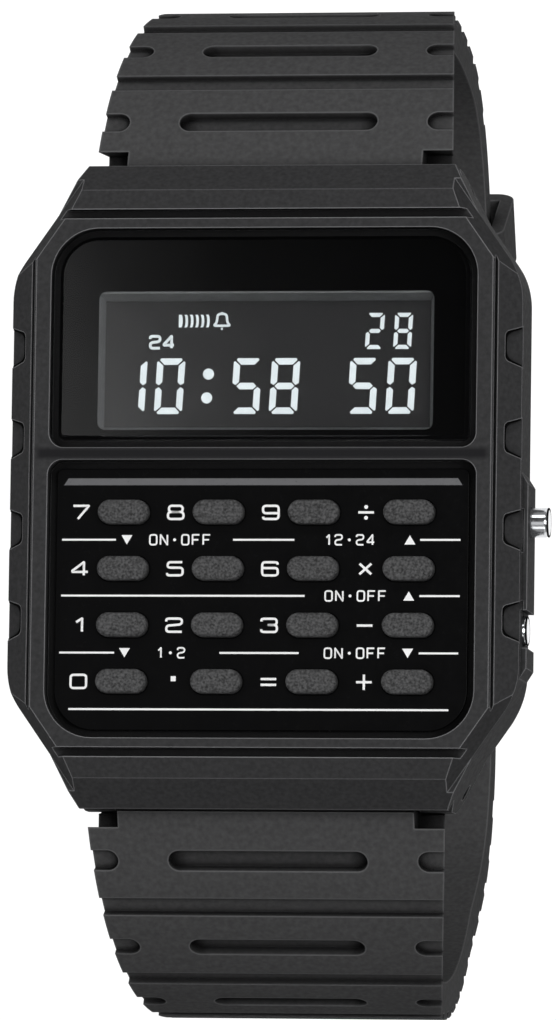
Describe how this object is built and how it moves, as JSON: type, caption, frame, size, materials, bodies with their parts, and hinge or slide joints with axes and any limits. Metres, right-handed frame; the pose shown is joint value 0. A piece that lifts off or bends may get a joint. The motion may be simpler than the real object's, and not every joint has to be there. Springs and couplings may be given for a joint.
{
  "type": "calculator watch",
  "caption": "Digital calculator wristwatch with a window over a small display, a pill-shaped keypad, side pushers and a moulded resin strap with buckle.",
  "frame": {"origin": "middle of the case back's flat outer face", "axes": "+Z out of the dial, +Y to 12 o'clock, +X to 3 o'clock, the side of the pushers"},
  "size_m": [0.0361, 0.0694, 0.0602],
  "materials": {
    "case_resin": "fine matt moulded resin",
    "window_glass": "flat polished window, printed black round the opening",
    "frame_plastic": "grey satin plastic",
    "lcd_glass": "dark display behind a polariser",
    "strip_rubber": "soft black rubber",
    "module_plastic": "moulded grey plastic",
    "board": "green board with solder mask",
    "chip_epoxy": "black epoxy",
    "nickel": "plated can",
    "spring_steel": "bright spring steel",
    "panel_plastic": "black satin plate with white print",
    "mat_rubber": "grey silicone rubber",
    "pusher_steel": "turned bright steel",
    "back_steel": "circular brushed steel",
    "screw_steel": "machined steel",
    "brass_disc": "brass disc with a ceramic face",
    "strap_resin": "matt moulded resin",
    "buckle_steel": "satin steel",
    "key_rubber": "grainy dark grey rubber"
  },
  "bodies": {
    "watch_head": {"case": "case_resin", "window_glass": "window_glass", "display_frame": "frame_plastic", "lcd_panel": "lcd_glass", "contact_strips": "strip_rubber", "module_frame": "module_plastic", "circuit_board": "board", "chip": "chip_epoxy", "quartz_crystal": "nickel", "battery": "nickel", "battery_clip": "spring_steel", "keypad_panel": "panel_plastic", "keypad_mat": "mat_rubber", "pusher_seals": "strip_rubber", "case_gasket": "strip_rubber", "case_back": "back_steel", "case_back_screws": "screw_steel", "piezo_disc": "brass_disc", "alarm_spring": "spring_steel", "spring_bar_12": "spring_steel", "spring_bar_6": "spring_steel"},
    "strap_12": {"strap_12": "strap_resin", "buckle_bar": "spring_steel"},
    "strap_6": {"strap_6": "strap_resin"},
    "buckle": {"buckle_frame": "buckle_steel"},
    "prong": {"buckle_prong": "buckle_steel"},
    "keeper": {"keeper": "strap_resin"},
    "mode_pusher": {"mode_pusher": "pusher_steel", "mode_clip": "spring_steel", "mode_spring": "spring_steel"},
    "adjust_pusher": {"adjust_pusher": "pusher_steel", "adjust_clip": "spring_steel", "adjust_spring": "spring_steel"},
    "key_7": {"key_7": "key_rubber"},
    "key_8": {"key_8": "key_rubber"},
    "key_9": {"key_9": "key_rubber"},
    "key_divide": {"key_divide": "key_rubber"},
    "key_4": {"key_4": "key_rubber"},
    "key_5": {"key_5": "key_rubber"},
    "key_6": {"key_6": "key_rubber"},
    "key_times": {"key_times": "key_rubber"},
    "key_1": {"key_1": "key_rubber"},
    "key_2": {"key_2": "key_rubber"},
    "key_3": {"key_3": "key_rubber"},
    "key_minus": {"key_minus": "key_rubber"},
    "key_0": {"key_0": "key_rubber"},
    "key_point": {"key_point": "key_rubber"},
    "key_equals": {"key_equals": "key_rubber"},
    "key_plus": {"key_plus": "key_rubber"}
  },
  "joints": [
    {"name": "key_7_press", "type": "slide", "parent": "watch_head", "child": "key_7", "axis": [0, 0, -1], "range_m": [0, 0.0004], "stiffness_N_per_m": 300, "springref_m": -0.0015},
    {"name": "key_8_press", "type": "slide", "parent": "watch_head", "child": "key_8", "axis": [0, 0, -1], "range_m": [0, 0.0004], "stiffness_N_per_m": 300, "springref_m": -0.0015},
    {"name": "key_9_press", "type": "slide", "parent": "watch_head", "child": "key_9", "axis": [0, 0, -1], "range_m": [0, 0.0004], "stiffness_N_per_m": 300, "springref_m": -0.0015},
    {"name": "key_divide_press", "type": "slide", "parent": "watch_head", "child": "key_divide", "axis": [0, 0, -1], "range_m": [0, 0.0004], "stiffness_N_per_m": 300, "springref_m": -0.0015},
    {"name": "key_4_press", "type": "slide", "parent": "watch_head", "child": "key_4", "axis": [0, 0, -1], "range_m": [0, 0.0004], "stiffness_N_per_m": 300, "springref_m": -0.0015},
    {"name": "key_5_press", "type": "slide", "parent": "watch_head", "child": "key_5", "axis": [0, 0, -1], "range_m": [0, 0.0004], "stiffness_N_per_m": 300, "springref_m": -0.0015},
    {"name": "key_6_press", "type": "slide", "parent": "watch_head", "child": "key_6", "axis": [0, 0, -1], "range_m": [0, 0.0004], "stiffness_N_per_m": 300, "springref_m": -0.0015},
    {"name": "key_times_press", "type": "slide", "parent": "watch_head", "child": "key_times", "axis": [0, 0, -1], "range_m": [0, 0.0004], "stiffness_N_per_m": 300, "springref_m": -0.0015},
    {"name": "key_1_press", "type": "slide", "parent": "watch_head", "child": "key_1", "axis": [0, 0, -1], "range_m": [0, 0.0004], "stiffness_N_per_m": 300, "springref_m": -0.0015},
    {"name": "key_2_press", "type": "slide", "parent": "watch_head", "child": "key_2", "axis": [0, 0, -1], "range_m": [0, 0.0004], "stiffness_N_per_m": 300, "springref_m": -0.0015},
    {"name": "key_3_press", "type": "slide", "parent": "watch_head", "child": "key_3", "axis": [0, 0, -1], "range_m": [0, 0.0004], "stiffness_N_per_m": 300, "springref_m": -0.0015},
    {"name": "key_minus_press", "type": "slide", "parent": "watch_head", "child": "key_minus", "axis": [0, 0, -1], "range_m": [0, 0.0004], "stiffness_N_per_m": 300, "springref_m": -0.0015},
    {"name": "key_0_press", "type": "slide", "parent": "watch_head", "child": "key_0", "axis": [0, 0, -1], "range_m": [0, 0.0004], "stiffness_N_per_m": 300, "springref_m": -0.0015},
    {"name": "key_point_press", "type": "slide", "parent": "watch_head", "child": "key_point", "axis": [0, 0, -1], "range_m": [0, 0.0004], "stiffness_N_per_m": 300, "springref_m": -0.0015},
    {"name": "key_equals_press", "type": "slide", "parent": "watch_head", "child": "key_equals", "axis": [0, 0, -1], "range_m": [0, 0.0004], "stiffness_N_per_m": 300, "springref_m": -0.0015},
    {"name": "key_plus_press", "type": "slide", "parent": "watch_head", "child": "key_plus", "axis": [0, 0, -1], "range_m": [0, 0.0004], "stiffness_N_per_m": 300, "springref_m": -0.0015},
    {"name": "mode_press", "type": "slide", "parent": "watch_head", "child": "mode_pusher", "axis": [-1, 0, 0], "range_m": [0, 0.00065], "stiffness_N_per_m": 400, "springref_m": -0.002, "deforming": ["mode_spring"]},
    {"name": "adjust_press", "type": "slide", "parent": "watch_head", "child": "adjust_pusher", "axis": [-1, 0, 0], "range_m": [0, 0.00065], "stiffness_N_per_m": 400, "springref_m": -0.002, "deforming": ["adjust_spring"]},
    {"name": "strap_12_hinge", "type": "hinge", "parent": "watch_head", "child": "strap_12", "pos_m": [0, 0.0202, 0.0014], "axis": [-1, 0, 0], "range_deg": [-20, 60]},
    {"name": "strap_6_hinge", "type": "hinge", "parent": "watch_head", "child": "strap_6", "pos_m": [0, -0.0202, 0.0014], "axis": [-1, 0, 0], "range_deg": [0, 20]},
    {"name": "buckle_hinge", "type": "hinge", "parent": "strap_12", "child": "buckle", "pos_m": [0, 0.01404, -0.04225], "axis": [1, 0, 0], "range_deg": [-60, 45]},
    {"name": "prong_hinge", "type": "hinge", "parent": "buckle", "child": "prong", "pos_m": [0, 0.01404, -0.04225], "axis": [1, 0, 0], "range_deg": [0, 45]},
    {"name": "keeper_slide", "type": "slide", "parent": "strap_12", "child": "keeper", "axis": [0, -0.8829, -0.4695], "range_m": [-0.002, 0.002]}
  ]
}
